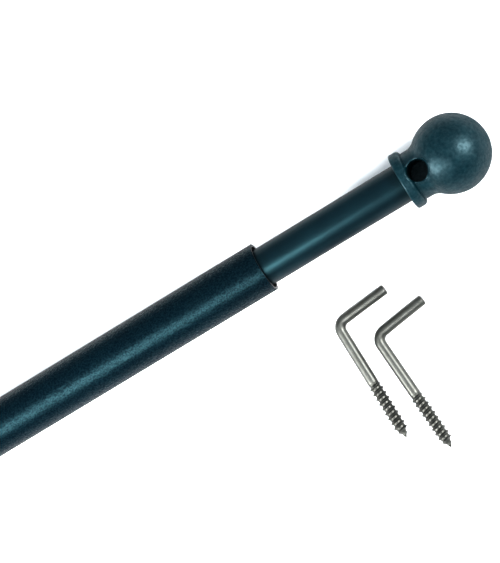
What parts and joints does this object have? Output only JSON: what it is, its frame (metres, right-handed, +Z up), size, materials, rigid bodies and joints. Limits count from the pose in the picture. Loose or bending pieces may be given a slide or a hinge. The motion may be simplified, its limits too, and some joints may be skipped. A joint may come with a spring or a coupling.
{
  "type": "door security bar",
  "caption": "Telescopic door security bar: plastic-covered steel tubes with an inner twist lock, drilled ball finials and square-bend screw hooks that the bar drops over.",
  "frame": {"origin": "centre of the outer finial's cross hole, on the bar's axis", "axes": "+X along the bar from the outer tube's finial to the sliding finial, +Z up along both cross holes, +Y across the bar, with the loose hooks lying on the -Y side"},
  "size_m": [0.7722, 0.1367, 0.038],
  "materials": {
    "grained_plastic": "fine orange-peel grain, semi-gloss, dark teal",
    "satin_plastic": "smooth satin, dark teal",
    "moulded_plastic": "moulded satin with slight flow marks, dark teal",
    "bush_plastic": "matt black nylon",
    "lock_plastic": "natural white acetal",
    "tube_steel": "drawn steel, phosphated, dull grey",
    "screw_steel": "zinc plated",
    "hook_steel": "drawn steel wire, bright, slightly tarnished"
  },
  "bodies": {
    "outer": {"outer_tube": "tube_steel", "outer_sheath": "grained_plastic", "mouth_bush": "bush_plastic", "end_adapter": "bush_plastic", "outer_finial": "moulded_plastic"},
    "guide": {"guide_ring": "lock_plastic"},
    "inner": {"inner_tube": "tube_steel", "inner_sheath": "satin_plastic", "inner_finial": "moulded_plastic", "lock_core": "lock_plastic", "retaining_washer": "tube_steel", "retaining_screw": "screw_steel"},
    "cam": {"cam_ring": "lock_plastic"},
    "hook_a": {"screw_hook_a": "hook_steel"},
    "hook_b": {"screw_hook_b": "hook_steel"}
  },
  "joints": [
    {"name": "telescope", "type": "slide", "parent": "outer", "child": "guide", "axis": [1, 0, 0], "range_m": [-0.072, 0.428]},
    {"name": "twist", "type": "hinge", "parent": "guide", "child": "inner", "pos_m": [0.151, 0, 0], "axis": [1, 0, 0], "range_deg": [0, 120]},
    {"name": "cam_turn", "type": "hinge", "parent": "inner", "child": "cam", "pos_m": [0.139, 0.00091, 0.00052], "axis": [1, 0, 0], "range_deg": [-120, 0]},
    {"name": "hook_a_lift", "type": "slide", "parent": "outer", "child": "hook_a", "axis": [0, 0, 1], "range_m": [0, 0.1]},
    {"name": "hook_b_lift", "type": "slide", "parent": "outer", "child": "hook_b", "axis": [0, 0, 1], "range_m": [0, 0.1]}
  ],
  "couplings": [
    {"joint": "cam_turn", "follows": "twist", "ratio": -1}
  ]
}
